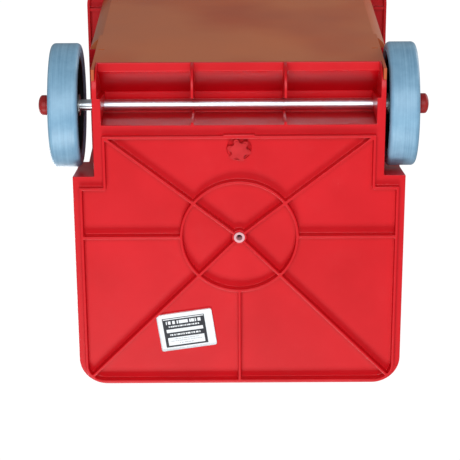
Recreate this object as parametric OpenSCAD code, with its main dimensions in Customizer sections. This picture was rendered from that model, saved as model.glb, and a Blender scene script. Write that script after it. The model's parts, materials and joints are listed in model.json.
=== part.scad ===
// Wheeled pedestal newspaper vending box.
// Frame: origin on the floor plane under the centre anchor hole, +Z up, -Y is the customer side.

/* [Base tray] */
// Overall width of the moulded base
base_w = 462; // [380:1:560]
// Distance from the anchor hole to the front edge of the base
base_front = 230; // [190:1:280]
// Height of the base rim
base_h = 118; // [100:1:150]
// Wall of the base tray
base_wall = 4; // [3:0.5:6]
// Height of the stiffening ribs below the field
rib_h = 12; // [8:1:14]
// Thickness of the stiffening ribs
rib_t = 4; // [3:0.5:6]
// Depth of the flat band around the ribbed field, measured from the field
band_drop = 4; // [1:0.5:5]
// Distance from the outer edge to the middle of the rim rib
rim_inset = 11; // [9:0.5:16]
// Mean diameter of the ring rib
ring_d = 163; // [110:1:200]
// Outer corner radius at the front
corner_r = 40; // [30:1:50]
// Distance from the anchor hole to the rear rim rib
rear_rib_y = 147.5; // [135:0.5:150]
// Width of the white label under the base
label_w = 80; // [40:1:90]
// Length of the white label under the base
label_l = 57; // [30:1:60]

/* [Anchor and clamp] */
// Hole for the floor anchor bolt
anchor_d = 8.5; // [6:0.5:12]
// Diameter over the lobes of the star knob
knob_d = 33; // [26:1:36]
// Diameter of the clamp bolt
clamp_d = 10; // [6:1:12]
// Distance from the anchor hole to the clamp bolt
clamp_y = 128; // [122:1:130]

/* [Wheels] */
// Outer diameter of a tyre
wheel_d = 174; // [150:1:178]
// Width of a tyre
tyre_w = 41; // [30:1:46]
// Diameter of the steel axle
axle_d = 16; // [10:1:20]
// Distance from the anchor hole to the axle
axle_y = 168; // [166:1:172]
// Sideways play of the axle in the base
axle_play = 14; // [6:1:14]

/* [Pedestal tub] */
// Distance from the side of the base to the side of the tub
tub_inset = 14.5; // [12:0.5:24]
// Distance from the anchor hole to the back of the tub
tub_back = 241; // [236:1:246]
// Height of the cabinet floor above the ground
tub_top = 490; // [360:1:640]
// Wall of the tub
tub_wall = 4; // [3:0.5:6]

/* [Cabinet] */
// Distance the cabinet reaches past each side of the tub
cab_overhang = 24.5; // [22:0.5:60]
// Distance from the anchor hole to the cabinet front
cab_front = 235; // [225:1:260]
// Distance from the anchor hole to the cabinet back
cab_back = 250; // [246:1:280]
// Height of the cabinet walls above the tub
cab_h = 544; // [500:1:640]
// Wall of the cabinet
cab_wall = 4; // [3:0.5:6]
// Thickness of the door frame
door_t = 23; // [20:1:30]
// Width of the rails around the window
door_rail = 55; // [50:1:80]
// Thickness of the window pane
pane_t = 4; // [3:0.5:5]

/* [Coin housing] */
// Width of the coin housing
coin_w = 210; // [200:1:260]
// Height of the coin housing
coin_h = 190; // [185:1:240]
// Depth of the coin housing
coin_depth = 260; // [240:1:300]
// Wall of the coin housing
coin_wall = 3.5; // [2.5:0.5:5]
// Travel of the coin drawer
drawer_travel = 120; // [60:1:130]

/* [Hidden] */
$fn = 64;

// Clearances shared by everything that fits
fit = 0.06;        // running fit, on the radius
gap = 0.3;         // between pieces that pass or seat
over = 1;          // how far a cutter runs past a face

// Base
field_z = rib_h;
plate_t = 4;
floor_z = field_z + plate_t;
band_z = field_z - band_drop;
half_w = base_w / 2;
rim_x = half_w - rim_inset;
rim_y = base_front - rim_inset + rib_t;
rim_corner_r = 25;
flange_t = 12;
well_in = half_w - 30;
well_front_low = 89;
well_front_high = 73;
well_lean_z = 90;
arch_top = 188;
flange_in = well_in - flange_t;
step_x = well_in - 14.5;
step_y = well_front_low - 16.5;
trough_front = 163;
trough_front_top = 152;
trough_deep = 183.5;
web_low = 201;
web_in = well_in - 7;
ledge_in = tub_back - 12.5;
ledge_z = 46;
ledge_t = 4;
heel_y = 211;
heel_r = tub_back - heel_y;
trough_top = 102;
trough_wall = 4;
arch_rear = tub_back - 19;
saddle_x = 64;
boss_r = 10.5;
bushing_r = 6;
bushing_flange_r = 7.7;
bushing_flange_t = 1.5;
shelf_t = 4;

// Wheels
wheel_r = wheel_d / 2;
wheel_gap = 6;
axle_r = axle_d / 2;
axle_z = wheel_r + 1;
axle_shift = axle_play / 2;
wheel_mid = well_in + axle_shift + tyre_w / 2 + wheel_gap;
hub_recess = 5;
hub_out = tyre_w / 2 + 6;
washer_t = 2;
washer_r = axle_r + 7;
rim_r = wheel_r - 17;
cap_r = 14.2;
cap_len = 14;
cap_wall = 2;
axle_half = wheel_mid + hub_out + cap_len - cap_wall;

// Tub
tub_half = half_w - tub_inset;
tub_front = base_front - base_wall - 11;
tub_corner_r = 30;
tub_mid = well_in - base_wall - gap;
tub_low = flange_in - gap;
tub_arch_front = well_front_high - 2 * base_wall + 1;
tub_step_y = trough_front_top - trough_wall - 3;
tub_step_z = trough_top + trough_wall + 4;
tub_flange = 22;
bead_w = 8.5;
bead_t = 6;
screw_r = 2.5;
screw_head_r = 5;
screw_head_t = 2.5;

// Ballast and clamp
ballast_t = 25;
ballast_top = floor_z + tub_wall + ballast_t;
clamp_r = clamp_d / 2;
clamp_plate_t = 4;
knob_t = 10;
knob_top = field_z - 0.5;

// Cabinet
cab_half = tub_half + cab_overhang;
cab_top = tub_top + cab_h;
cab_corner_r = 35;
skirt_drop = 12;
open_half = cab_half - 36;
open_low = tub_top + 40;
open_high = cab_top - 30;
bolt_r = 4;
under_rib_pitch = 60;
under_rib_last = 206;

// Door
door_half = open_half + 20;
door_low = open_low - 15;
door_high = open_high + 8;
door_back = -cab_front - 0.6;
door_face = door_back - door_t;
pin_r = 3;
pin_y = door_back - 11.4;
pin_z = door_low - 9;
knuckle_r = 7;
knuckle_l = 24;
ear_xs = [55 - door_half, door_half - 79];
win_half = door_half - door_rail + 10;
win_low = door_low + door_rail + 10;
win_high = door_high - door_rail + 3;
rebate = 10;
rebate_front = door_face + 9;
gasket_t = 6;
gasket_lip = 1;
retainer_t = 3;

// Latch
latch_y = -180;
latch_z = cab_top - 32;
latch_up = 12;
hook_reach = 44;
tail_reach = 30;
hook_w = 10;
link_r = 3;

// Coin housing
coin_half = coin_w / 2;
coin_front = -205;
coin_back = coin_front + coin_depth;
coin_z = cab_top;
coin_top = coin_z + coin_h;
coin_corner_r = 12;
drawer_x = 50;
drawer_half = 44;
drawer_low = coin_z + 13;
drawer_tall = 68;
drawer_wall = 2;
drawer_deep = 145;
lock_r = 9.5;
lock_head_r = 12;
cam_t = 3;
cup_x = -60;
cup_half = 30;
cup_low = coin_z + 12;
cup_tall = 50;
flap_pin_r = 1.5;
button_x = -70;
button_z = coin_z + 131;
button_r = 8;
bezel_x = 60;
bezel_z = coin_z + 131;
plate_x = -5;

// Rear handle
handle_half = 85;
handle_out = 45;
handle_r = 9;
handle_z = tub_top + 440;

red = "firebrick";
tan_red = "sienna";

// ---------- shared shapes ----------

module box_at(x0, y0, z0, x1, y1, z1) {
    translate([x0, y0, z0]) cube([x1 - x0, y1 - y0, z1 - z0]);
}

// Rectangle from y0 to y1, rounded at the front corners (front_r) and at the back corners (back_r)
module plan(half, y0, y1, front_r, back_r) {
    for (s = [-1, 1]) {
        if (front_r > 0) translate([s * (half - front_r), y0 + front_r]) circle(front_r);
        if (back_r > 0) translate([s * (half - back_r), y1 - back_r]) circle(back_r);
    }
    translate([-half + front_r, y0]) square([2 * (half - front_r), front_r + 0.01]);
    translate([-half + back_r, y1 - back_r - 0.01]) square([2 * (half - back_r), back_r + 0.01]);
    translate([-half, y0 + front_r]) square([2 * half, y1 - y0 - front_r - back_r]);
}

module prism(z0, z1) { translate([0, 0, z0]) linear_extrude(z1 - z0) children(); }

// A profile drawn in (Y, Z), run along X
module along_x(x0, x1) {
    translate([x0, 0, 0]) rotate([90, 0, 90]) linear_extrude(x1 - x0) children();
}

// A cylinder along X, Y or Z from one end to the other
module rod_x(x0, x1, y, z, r) { translate([x0, y, z]) rotate([0, 90, 0]) cylinder(h = x1 - x0, r = r); }
module rod_y(x, y0, y1, z, r) { translate([x, y0, z]) rotate([-90, 0, 0]) cylinder(h = y1 - y0, r = r); }
module rod_z(x, y, z0, z1, r) { translate([x, y, z0]) cylinder(h = z1 - z0, r = r); }

module both_sides() { for (s = [0, 1]) mirror([s, 0, 0]) children(); }

// A rib standing on the field between two points
module rib(from, to, t = rib_t) {
    d = to - from;
    translate([from[0], from[1], 0]) rotate([0, 0, atan2(d[1], d[0])])
        translate([0, -t / 2, 0]) cube([norm(d), t, rib_h + over]);
}

// ---------- base ----------

// Space for a wheel: the front wall leans forward up to well_lean_z
module well_cutter() {
    along_x(well_in, half_w + over)
        polygon([[well_front_low, -over], [well_front_low, band_z],
            [well_front_high, well_lean_z], [well_front_high, arch_top - base_wall],
            [tub_back + over, arch_top - base_wall], [tub_back + over, -over]]);
}

module rim_rib() {
    both_sides() {
        rib([rim_x, -rim_y + rim_corner_r], [rim_x, step_y]);
        rib([rim_x + rib_t / 2, step_y], [step_x - rib_t / 2, step_y]);
        rib([step_x, step_y], [step_x, rear_rib_y]);
        intersection() {
            translate([rim_x - rim_corner_r, -rim_y + rim_corner_r, 0]) difference() {
                cylinder(h = rib_h + over, r = rim_corner_r + rib_t / 2);
                translate([0, 0, -over]) cylinder(h = rib_h + 3 * over, r = rim_corner_r - rib_t / 2);
            }
            box_at(rim_x - rim_corner_r, -base_front, 0, half_w, -rim_y + rim_corner_r, rib_h + over);
        }
    }
    rib([-rim_x + rim_corner_r, -rim_y], [rim_x - rim_corner_r, -rim_y]);
    rib([-step_x - rib_t / 2, rear_rib_y], [step_x + rib_t / 2, rear_rib_y]);
    box_at(-21.6, rear_rib_y - rib_t / 2, 0, 21.6, rear_rib_y + rib_t, rib_h + over);
}

module field_ribs() {
    diag_corner = [rim_x - 0.29 * rim_corner_r, -rim_y + 0.29 * rim_corner_r];
    both_sides() {
        rib([0, 0], [step_x, rear_rib_y]);
        rib([0, 0], diag_corner);
        rib([ring_d / 2, 0], [rim_x, 0]);
    }
    rib([0, -ring_d / 2], [0, -rim_y]);
    difference() {
        cylinder(h = rib_h + over, r = (ring_d + rib_t) / 2);
        translate([0, 0, -over]) cylinder(h = rib_h + 3 * over, r = (ring_d - rib_t) / 2);
    }
}

// The rounded heel and the trough over the axle, as profiles in (Y, Z)
module heel_cut() {
    translate([heel_y, band_z]) difference() {
        translate([0, -band_z - over]) square([heel_r + over, heel_r + band_z + over]);
        translate([0, heel_r]) circle(heel_r);
    }
}

module trough_profile() {
    polygon([[trough_front - 5, band_z], [trough_front_top - trough_wall - 1, trough_top + trough_wall],
        [trough_deep + 2, trough_top + trough_wall], [ledge_in + 2, ledge_z + ledge_t],
        [tub_back, ledge_z + ledge_t], [tub_back, ledge_z], [ledge_in, ledge_z], [trough_deep, trough_top],
        [trough_front_top, trough_top], [trough_front, band_z]]);
}

// Space under the sloping rear wall, behind the line that the axle is seen along
module rear_bay_profile() {
    polygon([[web_low, -over], [web_low, band_z], [trough_deep, trough_top], [ledge_in, ledge_z],
        [tub_back + over, ledge_z], [tub_back + over, -over]]);
}

// Web across the trough that the axle lies under: along the front wall, over the axle and under the slope
module saddle_profile() {
    difference() {
        polygon([[trough_front - 2, band_z], [trough_front + 4, band_z],
            [axle_y - axle_r - gap, axle_z - axle_r], [axle_y - axle_r - gap, axle_z],
            [axle_y + axle_r + gap, axle_z], [web_low, band_z], [heel_y + heel_r, band_z],
            [heel_y + heel_r, ledge_z + 1], [ledge_in + 1, ledge_z + 1], [trough_deep + 1, trough_top + 1],
            [trough_front_top - 2, trough_top + 1]]);
        translate([axle_y, axle_z]) circle(axle_r + gap);
        heel_cut();
    }
}

module base_outline(inset, back) {
    plan(half_w - inset, -base_front + inset, well_front_low + 1, corner_r - inset, 0);
    translate([-well_in + inset, 0]) square([2 * (well_in - inset), back]);
}

module base_tray() color(red) difference() {
    union() {
        difference() {
            union() {
                prism(band_z, base_h) base_outline(0, tub_back);
                both_sides() box_at(well_in - base_wall, well_front_high - base_wall, base_h - over,
                    tub_half, arch_rear, arch_top);
            }
            // inside of the tray
            prism(floor_z, base_h - shelf_t)
                plan(half_w - base_wall, -base_front + base_wall, well_front_high - base_wall,
                    corner_r - base_wall, 0);
            prism(floor_z, base_h + over) {
                plan(tub_half + gap, -tub_front - gap, well_front_high - base_wall, tub_corner_r, 0);
                translate([-well_in + base_wall, 0]) square([2 * (well_in - base_wall), trough_front]);
            }
            // field between the ribs, above the flat band
            prism(band_z - over, field_z) field_outline();
            // the trough is put back as its own profile
            box_at(-flange_in, trough_front - 5, -over, flange_in, tub_back + over, base_h + over);
            both_sides() {
                well_cutter();
                along_x(flange_in - over, web_in) rear_bay_profile();
                // the tub's rear panel covers the flange above the ledge
                box_at(flange_in - over, tub_back - tub_wall - gap, ledge_z + ledge_t,
                    well_in + over, tub_back + over, base_h + over);
            }
        }
        difference() {
            along_x(-web_in - over, web_in + over) trough_profile();
            prism(-over, field_z) field_outline();
        }
        rim_rib();
        field_ribs();
        for (x = [-saddle_x, saddle_x]) along_x(x - rib_t / 2, x + rib_t / 2) saddle_profile();
        rod_z(0, 0, bushing_flange_t, floor_z, boss_r);
        rod_z(0, clamp_y, knob_top + gap, floor_z, 17);
    }
    rod_z(0, 0, -over, floor_z + over, bushing_r + fit);
    rod_z(0, 0, -over, bushing_flange_t, bushing_flange_r + gap);
    rod_z(0, clamp_y, -over, floor_z + over, clamp_r + 0.5);
    rod_x(-half_w, half_w, axle_y, axle_z, axle_r + fit);
    both_sides() {
        along_x(flange_in - over, half_w) heel_cut();
        // the tub's cheek shows at the rear edge of the wheel arch
        box_at(well_in - base_wall - gap, arch_rear, band_z + 4, well_in + over, tub_back + over, base_h + over);
        box_at(well_in - 60, arch_rear, base_h - gap, half_w, tub_back + over, arch_top + over);
    }
    for (p = tub_screw_places) rod_z(p[0], p[1], base_h - shelf_t - over, base_h + over, screw_r);
}

// Outline of the deeper field inside the rim rib
module field_outline() {
    plan(rim_x, -rim_y, step_y, rim_corner_r, 0);
    translate([-step_x, step_y - over]) square([2 * step_x, rear_rib_y - step_y + over]);
}

tub_screw_places = concat(
    [for (s = [-1, 1], y = [-140, 10]) [s * (tub_half + 5), y]],
    [for (s = [-1, 1]) [s * 120, -tub_front - 5]]);

module tub_screws() color("gainsboro") for (p = tub_screw_places) {
    rod_z(p[0], p[1], base_h - shelf_t - 4, base_h + gap + bead_t, screw_r - 0.02);
    difference() {
        rod_z(p[0], p[1], base_h + gap + bead_t, base_h + gap + bead_t + screw_head_t, screw_head_r - 0.6);
        box_at(p[0] - 3, p[1] - 0.5, base_h + gap + bead_t + 1.5, p[0] + 3, p[1] + 0.5, base_h + 20);
    }
}

module anchor_bushing() color("mistyrose") difference() {
    union() {
        rod_z(0, 0, 0, bushing_flange_t, bushing_flange_r);
        rod_z(0, 0, 0, floor_z, bushing_r);
    }
    rod_z(0, 0, -over, floor_z + over, anchor_d / 2);
}

module base_label() color("white")
    translate([76, -146, field_z - 0.4]) rotate([0, 0, -8.3])
        translate([-label_w / 2, -label_l / 2, 0]) cube([label_w, label_l, 0.4]);

module star_knob() color(red) difference() {
    lobe_r = 4.6;
    union() {
        rod_z(0, clamp_y, knob_top - knob_t, knob_top, knob_d / 2 - 3.2);
        for (i = [0:5]) {
            a = 13 + 60 * i;
            q = [(knob_d / 2 - lobe_r) * cos(a), clamp_y + (knob_d / 2 - lobe_r) * sin(a)];
            rod_z(q[0], q[1], knob_top - knob_t + 1, knob_top, lobe_r);
        }
    }
    rod_z(0, clamp_y, knob_top - knob_t + 3, knob_top + over, clamp_r + fit);
}

module clamp_bolt() color("silver") {
    rod_z(0, clamp_y, knob_top - knob_t + 3 + gap, ballast_top + clamp_plate_t, clamp_r);
    translate([0, clamp_y, ballast_top + clamp_plate_t]) cylinder(h = 0.65 * clamp_d, r = 0.92 * clamp_d, $fn = 6);
}

module clamp_plate() color("silver") difference() {
    box_at(-25, 60, ballast_top, 25, tub_step_y - tub_wall - 3, ballast_top + clamp_plate_t);
    rod_z(0, clamp_y, ballast_top - over, ballast_top + 2 * clamp_plate_t, clamp_r + 0.5);
}

module ballast_plate() color("darkgray") difference() {
    prism(floor_z + tub_wall, ballast_top) plan(165, -175, 105, 20, 12);
    rod_z(0, 0, 0, ballast_top + over, 16);
}

// ---------- wheels ----------

// Everything that is turned about the axle is drawn as a profile (radius, X) and spun
module turned(x) { translate([x, axle_y, axle_z]) rotate([0, 90, 0]) rotate_extrude($fn = 96) children(); }

module axle() color("silver") rod_x(axle_shift - axle_half, axle_shift + axle_half, axle_y, axle_z, axle_r);

module washer(x) { turned(x) translate([axle_r + fit, 0]) square([washer_r - axle_r - fit, washer_t]); }

module axle_washers() color("silver") {
    inner = tyre_w / 2 - hub_recess + gap + washer_t;
    washer(left_mid - inner);
    washer(right_mid + inner - washer_t);
}

module flange_washers() color("silver") {
    washer(well_in + 0.2);
    washer(-well_in - 0.2 - washer_t);
}

// out is +1 for the wheel on the +X side and -1 for the other
module hub(x, out) {
    boss_r2 = 17;
    x_in = -tyre_w / 2 + hub_recess;
    translate([x, axle_y, axle_z]) mirror([out < 0 ? 1 : 0, 0, 0]) difference() {
        union() {
            rotate([0, 90, 0]) rotate_extrude($fn = 96) {
                translate([axle_r + fit, x_in]) square([boss_r2 - axle_r - fit, hub_out - x_in]);
                translate([boss_r2 - 1, -3]) square([rim_r - boss_r2 + 1 - 4, 5]);
                translate([rim_r - 5, -tyre_w / 2 + 3]) square([5, tyre_w - 6]);
            }
            for (i = [0:7]) rotate([45 * i, 0, 0])
                translate([-12, -2, boss_r2 - 2]) cube([24, 4, rim_r - boss_r2 - 1]);
        }
        rotate([0, 90, 0]) translate([0, 0, -tyre_w]) cylinder(h = 2 * tyre_w, r = axle_r + fit);
    }
}

module tyre(x) {
    shoulder = 6;
    turned(x) {
        translate([rim_r, -tyre_w / 2 + 2.5]) square([wheel_r - rim_r - shoulder, tyre_w - 5]);
        translate([rim_r + 4, -tyre_w / 2]) square([wheel_r - rim_r - 4 - shoulder, tyre_w]);
        translate([rim_r + 4, -tyre_w / 2 + shoulder])
            square([wheel_r - rim_r - 4, tyre_w - 2 * shoulder]);
        for (s = [-1, 1]) translate([wheel_r - shoulder, s * (tyre_w / 2 - shoulder)]) circle(shoulder);
    }
}

left_mid = axle_shift + wheel_mid;
right_mid = axle_shift - wheel_mid;
module left_hub() color("#1c1c1c") hub(left_mid, 1);
module right_hub() color("#1c1c1c") hub(right_mid, -1);
module left_tyre() color("lightsteelblue") tyre(left_mid);
module right_tyre() color("lightsteelblue") tyre(right_mid);

// Pressed-on domed cap: skirt, then a dome over the axle end
module axle_cap(x, out) {
    skirt = cap_len - 5;
    dome_r = 23;
    translate([x, axle_y, axle_z]) mirror([out < 0 ? 1 : 0, 0, 0]) rotate([0, 90, 0]) difference() {
        union() {
            cylinder(h = skirt, r = cap_r);
            intersection() {
                translate([0, 0, cap_len - dome_r]) sphere(dome_r);
                cylinder(h = cap_len, r = cap_r);
                translate([-cap_r, -cap_r, 2]) cube([2 * cap_r, 2 * cap_r, cap_len]);
            }
        }
        translate([0, 0, -over]) cylinder(h = cap_len - cap_wall + over, r = axle_r + fit / 2);
    }
}

cap_x = wheel_mid + hub_out + gap;
module left_axle_cap() color(red) axle_cap(axle_shift + cap_x, 1);
module right_axle_cap() color(red) axle_cap(axle_shift - cap_x, -1);

// ---------- pedestal tub ----------

module tub_solid(inset) {
    top = inset > 0 ? tub_top - tub_wall : tub_top;
    low = floor_z + inset;
    prism(low, top) plan(tub_half - inset, -tub_front + inset, tub_arch_front - inset,
        tub_corner_r - inset, 0);
    box_at(-tub_mid + inset, 0, low, tub_mid - inset, tub_step_y - inset, top);
    box_at(-tub_low + inset, tub_step_y - 2 * tub_wall, tub_step_z + inset, tub_low - inset,
        tub_back - inset, top);
    box_at(-tub_mid + inset, tub_step_y - 2 * tub_wall, base_h + gap + inset, tub_mid - inset,
        tub_back - inset, top);
    prism(arch_top + gap + inset, top) plan(tub_half - inset, -tub_front + inset, tub_back - inset,
        tub_corner_r - inset, tub_corner_r - inset);
}

module pedestal_tub() color(tan_red) difference() {
    union() {
        difference() {
            union() {
                tub_solid(0);
                prism(base_h + gap, base_h + gap + bead_t)
                    plan(tub_half + bead_w, -tub_front - bead_w, tub_arch_front, tub_corner_r + bead_w, 0);
            }
            tub_solid(tub_wall);
            prism(tub_top - 2 * tub_wall, tub_top + over)
                plan(tub_half - tub_flange, -tub_front + tub_flange, tub_back - tub_flange, 15, 15);
        }
        box_at(-well_in, tub_back - tub_wall, ledge_z + ledge_t + gap, well_in, tub_back,
            tub_step_z + tub_wall);
        both_sides() {
            box_at(well_in - base_wall, arch_rear + gap, band_z + 4 + gap, well_in, tub_back, arch_top + tub_wall);
            box_at(tub_low - tub_wall, arch_rear + gap, base_h + gap, well_in, tub_back, arch_top + tub_wall);
        }
    }
    rod_z(0, 0, 0, floor_z + 2 * tub_wall, anchor_d / 2 + 2);
    rod_z(0, clamp_y, 0, floor_z + 2 * tub_wall, clamp_r + 0.5);
    for (p = tub_screw_places) rod_z(p[0], p[1], base_h, base_h + 20, screw_r);
    for (p = cabinet_bolt_places) rod_z(p[0], p[1], tub_top - 3 * tub_wall, tub_top + over, bolt_r + 0.5);
}

// ---------- cabinet ----------

cabinet_bolt_places = [for (s = [-1, 1], y = [-150, 20, 180]) [s * (tub_half - 13), y]];

module cabinet_bolts() color("silver") for (p = cabinet_bolt_places) {
    rod_z(p[0], p[1], tub_top - tub_wall - 10, tub_top + cab_wall, bolt_r);
    translate([p[0], p[1], tub_top + cab_wall]) cylinder(h = 5, r = 1.8 * bolt_r, $fn = 6);
    translate([p[0], p[1], tub_top - tub_wall - 6]) difference() {
        cylinder(h = 6, r = 1.8 * bolt_r, $fn = 6);
        translate([0, 0, -over]) cylinder(h = 8, r = bolt_r);
    }
}

module cabinet_shell() color(red) difference() {
    union() {
        difference() {
            prism(tub_top - skirt_drop, cab_top) plan(cab_half, -cab_front, cab_back, cab_corner_r, cab_corner_r);
            prism(tub_top + cab_wall, cab_top - cab_wall)
                plan(cab_half - cab_wall, -cab_front + cab_wall, cab_back - cab_wall,
                    cab_corner_r - cab_wall, cab_corner_r - cab_wall);
            prism(tub_top - skirt_drop - over, tub_top)
                plan(cab_half - cab_wall, -cab_front + cab_wall, cab_back - cab_wall,
                    cab_corner_r - cab_wall, cab_corner_r - cab_wall);
            box_at(-open_half, -cab_front - over, open_low, open_half, -cab_front + 2 * cab_wall, open_high);
        }
        // ribs under the overhang, outside the tub
        for (y = [under_rib_last:-under_rib_pitch:-tub_front + tub_corner_r]) both_sides()
            box_at(tub_half + 1, y - 2, tub_top - skirt_drop + 2, cab_half - cab_wall / 2, y + 2, tub_top + over);
        for (x = ear_xs) door_ear(x, -cab_front + 1);
    }
    for (p = cabinet_bolt_places) rod_z(p[0], p[1], tub_top - over, tub_top + 2 * cab_wall, bolt_r + 0.5);
    rod_x(-half_w, half_w, pin_y, pin_z, pin_r + fit);
    rod_z(0, latch_y + tail_reach, cab_top - 2 * cab_wall, cab_top + over, link_r + 2);
    for (p = housing_screw_places) rod_z(p[0], p[1], cab_top - 2 * cab_wall, cab_top + over, screw_r);
}

// A hinge knuckle with its arm back to a wall that faces -Y
module door_ear(x, wall_y) {
    rod_x(x, x + knuckle_l, pin_y, pin_z, knuckle_r);
    box_at(x, pin_y, pin_z - knuckle_r, x + knuckle_l, wall_y, pin_z);
}

module paper_shelf() color("silver") {
    half = tub_half - 25;
    y0 = -cab_front + 60;
    y1 = cab_back - cab_wall - 20;
    z0 = tub_top + cab_wall + 14;
    box_at(-half, y0, z0, half, y1, z0 + 2);
    both_sides() box_at(half - 2, y0, tub_top + cab_wall, half, y1, z0 + 1);
    box_at(-half, y0 - 2, z0 - 10, half, y0, z0 + 2);
}

// ---------- door ----------

module door_frame() color(red) difference() {
    union() {
        difference() {
            translate([0, door_back, 0]) rotate([90, 0, 0]) linear_extrude(door_t)
                plan(door_half, door_low, door_high, 14, 22);
            box_at(-win_half, door_face - over, win_low, win_half, door_back + over, win_high);
            box_at(-win_half - rebate, rebate_front, win_low - rebate, win_half + rebate, door_back + over,
                win_high + rebate);
        }
        for (x = door_knuckle_xs) {
            rod_x(x, x + knuckle_l, pin_y, pin_z, knuckle_r);
            box_at(x, pin_y - knuckle_r, pin_z, x + knuckle_l, pin_y + knuckle_r, door_low + over);
        }
    }
    rod_x(-half_w, half_w, pin_y, pin_z, pin_r + fit);
    for (p = retainer_places) rod_y(p[0], rebate_front - 5, rebate_front + over, p[1], 1.5);
    for (s = [-1, 1]) rod_y(s * 55, door_face - over, door_face + 12, door_high - 26, 4);
}

door_knuckle_xs = [for (x = ear_xs) x + (x < 0 ? knuckle_l + 1 : -knuckle_l - 1)];
retainer_places = concat(
    [for (s = [-1, 1], i = [0:2]) [s * (win_half + rebate / 2), win_low + (win_high - win_low) * i / 2]],
    [for (z = [win_low - rebate / 2, win_high + rebate / 2]) [0, z]]);

module window_ring(grow, shrink, y0, y1) difference() {
    box_at(-win_half - grow, y0, win_low - grow, win_half + grow, y1, win_high + grow);
    box_at(-win_half - shrink, y0 - over, win_low - shrink, win_half + shrink, y1 + over, win_high + shrink);
}

gasket_y = rebate_front + gap;
module window_gasket() color("#202020") difference() {
    window_ring(rebate - gap, -2, gasket_y, gasket_y + gasket_t);
    box_at(-win_half - 3, gasket_y + gasket_lip, win_low - 3, win_half + 3,
        gasket_y + gasket_lip + pane_t, win_high + 3);
    for (p = retainer_places) rod_y(p[0], gasket_y - over, gasket_y + gasket_t + over, p[1], 1.6);
}

module window_pane() color("lightcyan", 0.4)
    box_at(-win_half - 3 + gap / 2, gasket_y + gasket_lip + 0.02, win_low - 3 + gap / 2,
        win_half + 3 - gap / 2, gasket_y + gasket_lip + pane_t - 0.02, win_high + 3 - gap / 2);

retainer_y = gasket_y + gasket_t;
module window_retainer() color("silver") difference() {
    window_ring(rebate - gap, -1, retainer_y, retainer_y + retainer_t);
    for (p = retainer_places) rod_y(p[0], retainer_y - over, retainer_y + retainer_t + over, p[1], 1.6);
}

module retainer_screws() color("gainsboro") for (p = retainer_places) {
    rod_y(p[0], rebate_front - 4.5, retainer_y + retainer_t, p[1], 1.48);
    rod_y(p[0], retainer_y + retainer_t, retainer_y + retainer_t + 1.8, p[1], 3);
}

// Bow handle: two posts, two quarter bends and a grip
module door_handle() color("#1c1c1c") translate([0, 0, door_high - 26]) {
    out = 34;
    bend = 12;
    for (s = [-1, 1]) {
        rod_y(s * 55, door_face - out + bend, door_face + 11, 0, 3.98);
        rod_y(s * 55, door_face - out + bend, door_face, 0, 6);
        translate([s * (55 - bend), door_face - out + bend, 0]) rotate([0, 0, s > 0 ? -90 : -180])
            rotate_extrude(angle = 90) translate([bend, 0]) circle(6);
    }
    rod_x(-55 + bend, 55 - bend, door_face - out, 0, 6);
}

module door_hinge_pin() color("silver")
    rod_x(ear_xs[0] - 4, ear_xs[1] + knuckle_l + 4, pin_y, pin_z, pin_r);

// Torsion springs: turns stacked along the pin, with a leg up the back of the door rail
module door_springs() color("darkgray") for (s = [0, 1]) mirror([s, 0, 0]) {
    wire_r = 1.2;
    for (i = [0:7]) translate([80 + 2.3 * i, pin_y, pin_z]) rotate([0, 90, 0])
        rotate_extrude($fn = 32) translate([pin_r + 1.6, 0]) circle(wire_r, $fn = 16);
    rod_x(80, 80 + 2.3 * 7, pin_y, pin_z + pin_r + 1.6, wire_r);
    rod_z(80, pin_y, pin_z + pin_r + 1.6, door_low, wire_r);
}

catch_low = open_high - 20;
module door_catch() color("silver") {
    box_at(-12, door_back, catch_low - 18, 12, door_back + 2.5, catch_low + 2);
    box_at(-12, door_back, catch_low, 12, latch_y - 28, catch_low + 4);
    box_at(-12, latch_y - 32, catch_low, 12, latch_y - 28, catch_low + 9);
}

// Wire pocket on the inside of the door that holds the displayed copy
module paper_holder() color("#2a2a2a") {
    wire_r = 2;
    y_in = door_back + 8;
    low = win_low - 24;
    high = win_high - 40;
    for (x = [-150, 150]) {
        rod_z(x, y_in, low, high, wire_r);
        for (z = [low + 8, high - 8]) rod_y(x, door_back, y_in + 1, z, wire_r + 1);
    }
    for (z = [low, (low + high) / 2, high]) rod_x(-154, 154, y_in + 1.7 * wire_r, z, wire_r);
}

// ---------- latch ----------

module latch_bracket() color("silver") both_sides() difference() {
    box_at(hook_w / 2 + 1, latch_y - 12, latch_z - 8, hook_w / 2 + 4, latch_y + 12, cab_top - cab_wall);
    rod_x(0, 30, latch_y, latch_z, pin_r + fit);
}

module latch_pin() color("silver") rod_x(-hook_w / 2 - 6, hook_w / 2 + 6, latch_y, latch_z, pin_r);

module latch_hook() color("gray") translate([0, latch_y, latch_z]) rotate([-latch_up, 0, 0]) difference() {
    union() {
        rod_x(-hook_w / 2, hook_w / 2, 0, 0, 7);
        box_at(-hook_w / 2, -hook_reach, -3, hook_w / 2, 0, 4);
        box_at(-hook_w / 2, -hook_reach, -10, hook_w / 2, -hook_reach + 6, 4);
        box_at(-3, 0, -2, 3, tail_reach - 4.5, 2);
    }
    rod_x(-hook_w, hook_w, 0, 0, pin_r + fit);
}

// Rod from the hook's tail up to the coin mechanism
module latch_link() color("silver") {
    y = latch_y + tail_reach;
    z = latch_z - (tail_reach - 8) * sin(latch_up);
    difference() {
        union() {
            rod_z(0, y, z + 4, coin_z + 96, link_r);
            box_at(-6, y - 12, z - 7, 6, y + 4, z + 7);
        }
        box_at(-7, y - 12.5, z - 3, 7, y - 1, z + 3);
    }
    rod_z(0, y, coin_z + 94, coin_z + 98, link_r + 3);
}

// ---------- coin housing ----------

housing_screw_places = [for (s = [-1, 1], y = [coin_front + 60, coin_back - 30]) [s * (coin_half - 6), y]];

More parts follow.
